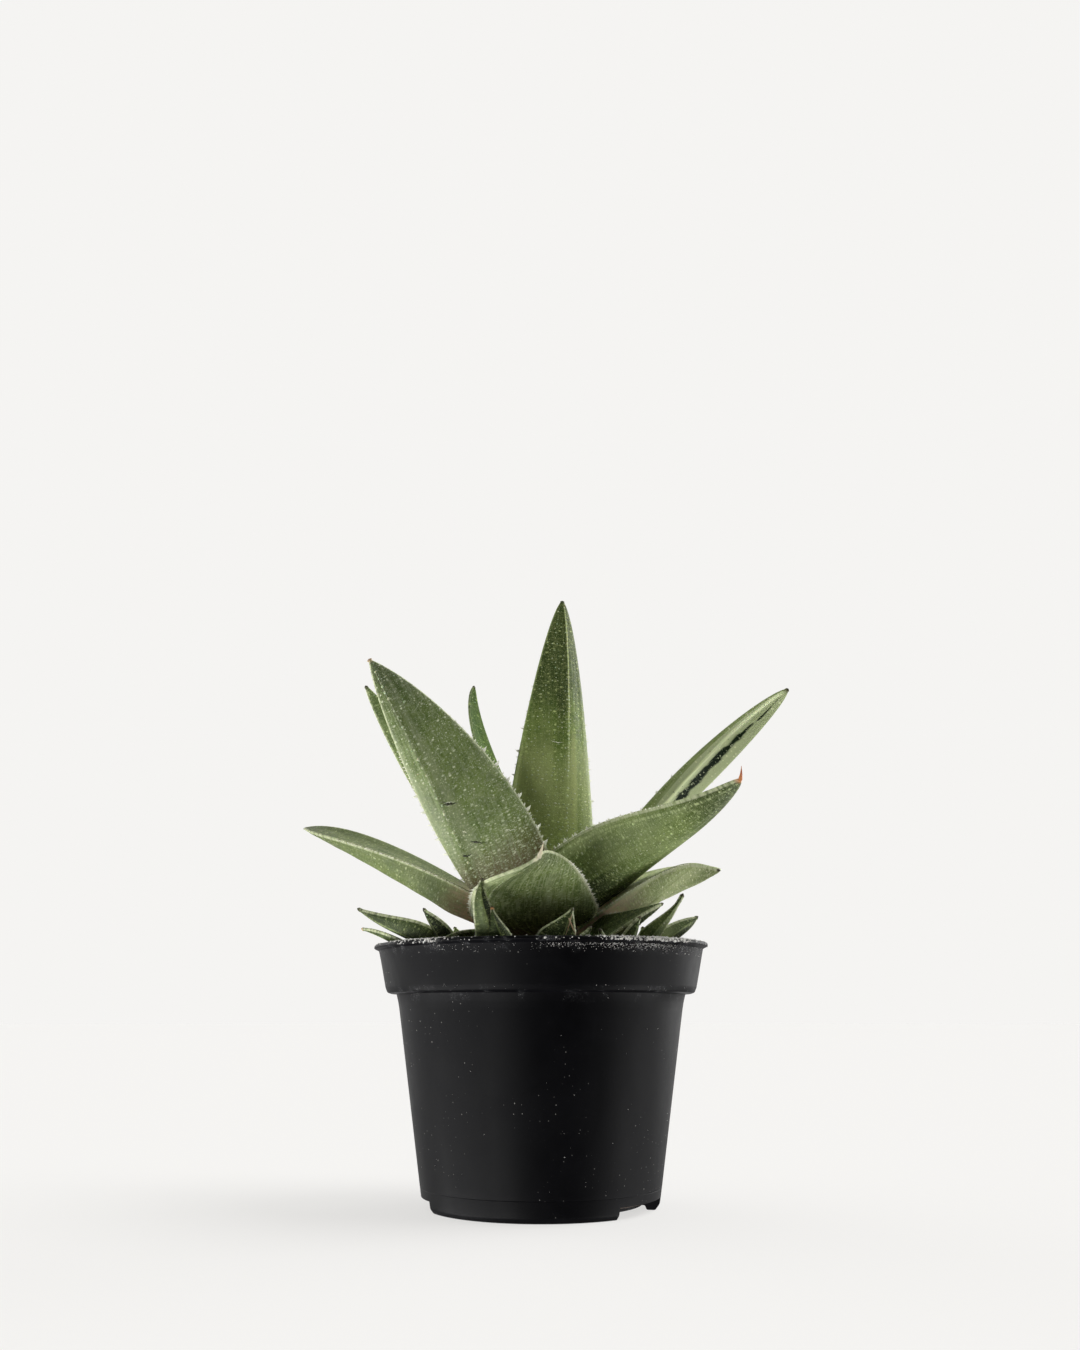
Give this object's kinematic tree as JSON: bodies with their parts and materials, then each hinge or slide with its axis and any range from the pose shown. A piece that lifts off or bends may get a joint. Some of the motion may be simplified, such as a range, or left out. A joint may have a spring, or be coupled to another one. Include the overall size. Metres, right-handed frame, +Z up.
{
  "type": "potted gasteraloe succulent",
  "caption": "Small rosette succulent with broad keeled green leaves and young offsets, planted in a round tapered nursery pot.",
  "frame": {"origin": "on the pot's axis, in the plane that the pot's foot stands on", "axes": "+Z up along the pot's axis; -Y is the side the picture looks at; +X is to the picture's right"},
  "size_m": [0.1593, 0.105, 0.1929],
  "materials": {
    "leaf": "waxy satin green with raised pale flecks",
    "offset_leaf": "satin dark green",
    "stem": "dull, fibrous",
    "soil": "crumbly potting mix with pale grit",
    "pot": "matte black moulded plastic"
  },
  "bodies": {
    "root": {"pot": "pot", "soil": "soil", "stem": "stem", "leaf_centre_tall": "leaf", "leaf_heart": "leaf", "leaf_left_tall": "leaf", "leaf_right_broad": "leaf", "leaf_back_inner": "leaf", "leaf_back_left": "leaf", "leaf_right_slender": "leaf", "leaf_front": "leaf", "leaf_left_low": "leaf", "leaf_right_low": "leaf", "leaf_back_low": "leaf", "leaf_back_right": "leaf", "leaf_back_short": "leaf", "leaf_right_dark": "leaf", "offset_left": "offset_leaf", "offset_front_left": "offset_leaf", "offset_front": "offset_leaf", "offset_front_right": "offset_leaf", "offset_right": "offset_leaf", "offset_back": "offset_leaf"}
  },
  "joints": []
}
